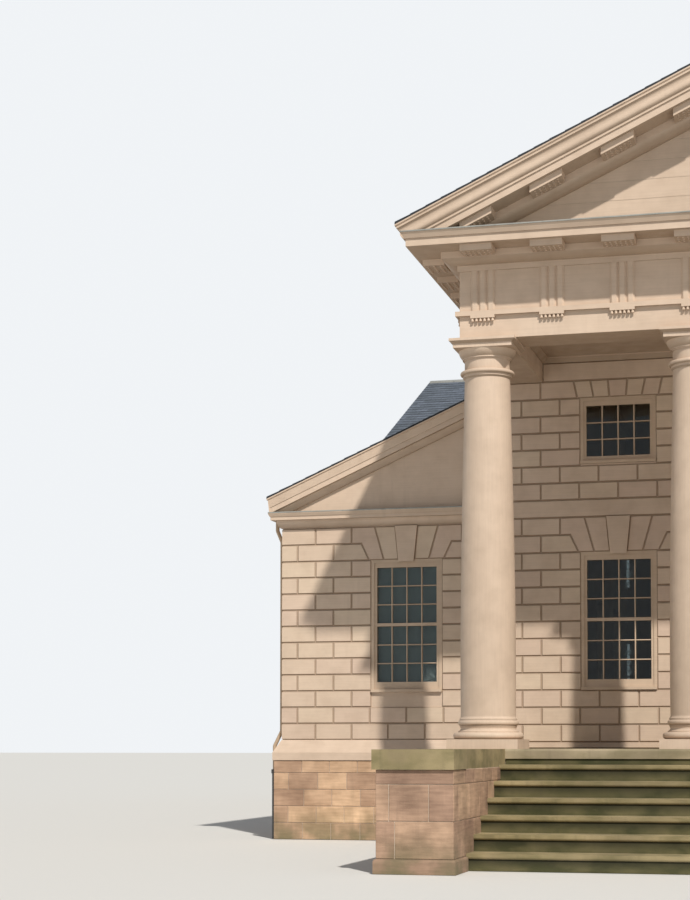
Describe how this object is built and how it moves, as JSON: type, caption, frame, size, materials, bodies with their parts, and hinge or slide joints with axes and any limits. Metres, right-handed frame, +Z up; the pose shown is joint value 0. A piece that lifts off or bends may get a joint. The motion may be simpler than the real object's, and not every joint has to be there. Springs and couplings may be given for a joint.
{
  "type": "temple-front library building",
  "caption": "Small temple-front library: timber Doric portico and pediment on a stone basement, with steps, a gabled hall, two lean-to wings and a cross block behind.",
  "frame": {"origin": "on the lowest ground, in the middle of the building's length and width", "axes": "+Z up; +Y from the steps towards the back; +X to the right when the steps are faced"},
  "size_m": [18.172, 28.741, 10.1759],
  "materials": {
    "brownstone": "sawn blocks in courses",
    "step_stone": "worn sandstone with moss",
    "painted_timber": "sanded paint, weathered",
    "door_paint": "dark paint",
    "floor_boards": "waxed boards",
    "slate": "riven slates",
    "ridge_metal": "weathered sheet",
    "window_glass": "old sheet glass",
    "pipe_paint": "matt paint",
    "cast_iron": "grey paint"
  },
  "bodies": {
    "root": {"podium": "brownstone", "cheek_walls": "brownstone", "main_foundation": "brownstone", "wing_foundations": "brownstone", "rear_foundation": "brownstone", "stair_core": "brownstone", "portico_floor": "step_stone", "stair_treads": "step_stone", "cheek_bases": "step_stone", "cheek_caps": "step_stone", "column_1": "painted_timber", "column_2": "painted_timber", "column_3": "painted_timber", "column_4": "painted_timber", "front_entablature": "painted_timber", "side_entablatures": "painted_timber", "front_cornice": "painted_timber", "side_cornices": "painted_timber", "left_raking_cornice": "painted_timber", "right_raking_cornice": "painted_timber", "front_tympanum": "painted_timber", "rear_entablature": "painted_timber", "rear_cornice": "painted_timber", "rear_raking_cornices": "painted_timber", "rear_tympana": "painted_timber", "main_front_wall": "painted_timber", "main_side_walls": "painted_timber", "rear_front_walls": "painted_timber", "rear_gable_walls": "painted_timber", "rear_back_wall": "painted_timber", "wing_front_walls": "painted_timber", "wing_back_walls": "painted_timber", "wing_side_walls": "painted_timber", "wing_cornices": "painted_timber", "wing_raking_cornices": "painted_timber", "water_table": "painted_timber", "portico_ceiling": "painted_timber", "window_frames": "painted_timber", "keystones": "painted_timber", "door_frame": "painted_timber", "entrance_doors": "door_paint", "main_floor": "floor_boards", "rear_floor": "floor_boards", "wing_floors": "floor_boards", "main_roof_left": "slate", "main_roof_right": "slate", "rear_roof_front": "slate", "rear_roof_back": "slate", "wing_roofs": "slate", "ridge_caps": "ridge_metal", "window_glass": "window_glass", "downspouts": "pipe_paint", "downspout_boots": "cast_iron"}
  },
  "joints": []
}
